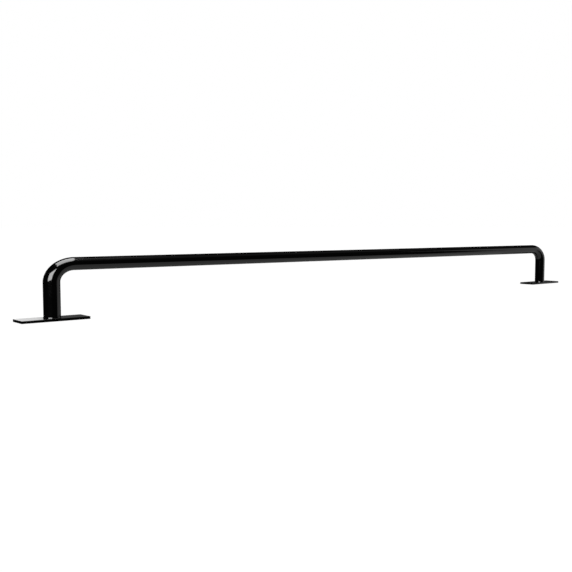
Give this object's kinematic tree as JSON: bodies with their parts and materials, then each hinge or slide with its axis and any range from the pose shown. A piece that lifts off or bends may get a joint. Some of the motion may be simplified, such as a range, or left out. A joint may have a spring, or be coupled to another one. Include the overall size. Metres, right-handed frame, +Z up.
{
  "type": "bed assist rail",
  "caption": "Low bed side rail: a long straight tube with a bend and a short leg at each end, each leg welded to a flat rectangular foot plate.",
  "frame": {"origin": "midway between the two legs, at the underside of the foot plates", "axes": "+X along the rail towards the right leg, +Y across the rail towards the back, +Z up from the foot plates to the rail"},
  "size_m": [1.683, 0.045, 0.1175],
  "materials": {
    "gloss_black_coat": "gloss black powder coat on steel",
    "bare_steel": "bare drawn steel tube, inside the joints"
  },
  "bodies": {
    "root": {"rail_tube": "gloss_black_coat", "left_end_bend": "gloss_black_coat", "right_end_bend": "gloss_black_coat", "left_joint_sleeve": "bare_steel", "right_joint_sleeve": "bare_steel", "left_joint_weld": "gloss_black_coat", "right_joint_weld": "gloss_black_coat", "left_foot_plate": "gloss_black_coat", "right_foot_plate": "gloss_black_coat", "left_foot_weld": "gloss_black_coat", "right_foot_weld": "gloss_black_coat"}
  },
  "joints": []
}
